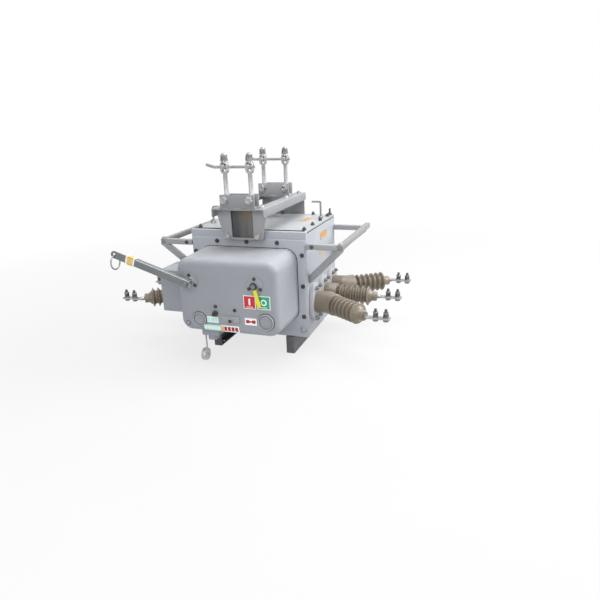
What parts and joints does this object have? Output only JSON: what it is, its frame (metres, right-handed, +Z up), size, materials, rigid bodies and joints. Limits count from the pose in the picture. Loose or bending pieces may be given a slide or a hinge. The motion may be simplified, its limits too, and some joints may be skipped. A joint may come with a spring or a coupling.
{
  "type": "vacuum load break switch",
  "caption": "Pole-top vacuum load break switch: grey metal tank with ribbed fanned bushings, hand lever with pull ring, position pointer and hanger frame for a crossarm.",
  "frame": {"origin": "middle of the four foot bolt holes, on the floor under the tank", "axes": "+Z up, the front with the handle faces -Y, the bushings leave along -X and +X"},
  "size_m": [1.0182, 0.654, 0.702],
  "materials": {
    "grey_paint": "satin",
    "zinc": "galvanised",
    "resin": "matte",
    "gasket": "matte",
    "handle_paint": "satin",
    "pointer_yellow": "satin",
    "black_steel": "blackened"
  },
  "bodies": {
    "base": {"tank_body": "grey_paint", "front_flange": "grey_paint", "lid_gasket": "gasket", "tank_lid": "grey_paint", "rail_left": "grey_paint", "rail_right": "grey_paint", "mechanism_cover": "grey_paint", "side_housing": "grey_paint", "handle_bearing": "grey_paint", "pointer_bearing": "grey_paint", "plug_left": "grey_paint", "plug_right": "grey_paint", "close_knob": "black_steel", "trip_knob": "black_steel", "control_socket": "zinc", "dust_cap": "zinc", "bushing_flanges_left": "grey_paint", "bushing_flanges_right": "grey_paint", "bushing_left_front": "resin", "bushing_left_mid": "resin", "bushing_left_rear": "resin", "bushing_right_front": "resin", "bushing_right_mid": "resin", "bushing_right_rear": "resin", "terminal_left_front": "zinc", "terminal_left_mid": "zinc", "terminal_left_rear": "zinc", "terminal_right_front": "zinc", "terminal_right_mid": "zinc", "terminal_right_rear": "zinc", "hanger_beam_left": "grey_paint", "hanger_beam_right": "grey_paint", "hanger_plate_front": "grey_paint", "hanger_plate_rear": "grey_paint", "front_leg": "grey_paint", "leg_panel": "black_steel", "rear_leg": "grey_paint", "front_saddle": "grey_paint", "rear_saddle": "grey_paint", "front_rods": "zinc", "rear_rods": "zinc", "front_clamp": "zinc", "rear_clamp": "zinc", "side_bar_left": "grey_paint", "side_bar_right": "grey_paint", "side_arms_left": "grey_paint", "side_arms_right": "grey_paint", "side_braces_left": "grey_paint", "side_braces_right": "grey_paint", "lid_hook": "zinc"},
    "handle": {"operating_handle": "handle_paint"},
    "ring": {"pull_ring": "zinc"},
    "pointer_body": {"pointer": "pointer_yellow"}
  },
  "joints": [
    {"name": "handle_turn", "type": "hinge", "parent": "base", "child": "handle", "pos_m": [-0.128, -0.395, 0.305], "axis": [0, -1, 0], "range_deg": [0, 60]},
    {"name": "pointer_turn", "type": "hinge", "parent": "base", "child": "pointer_body", "pos_m": [0.104, -0.373, 0.305], "axis": [0, 1, 0], "range_deg": [0, 26]},
    {"name": "ring_swing", "type": "hinge", "parent": "handle", "child": "ring", "pos_m": [-0.39049, -0.393, 0.39029], "axis": [0, 1, 0], "range_deg": [-30, 75]}
  ],
  "couplings": [
    {"joint": "pointer_turn", "follows": "handle_turn", "ratio": 0.43333}
  ]
}
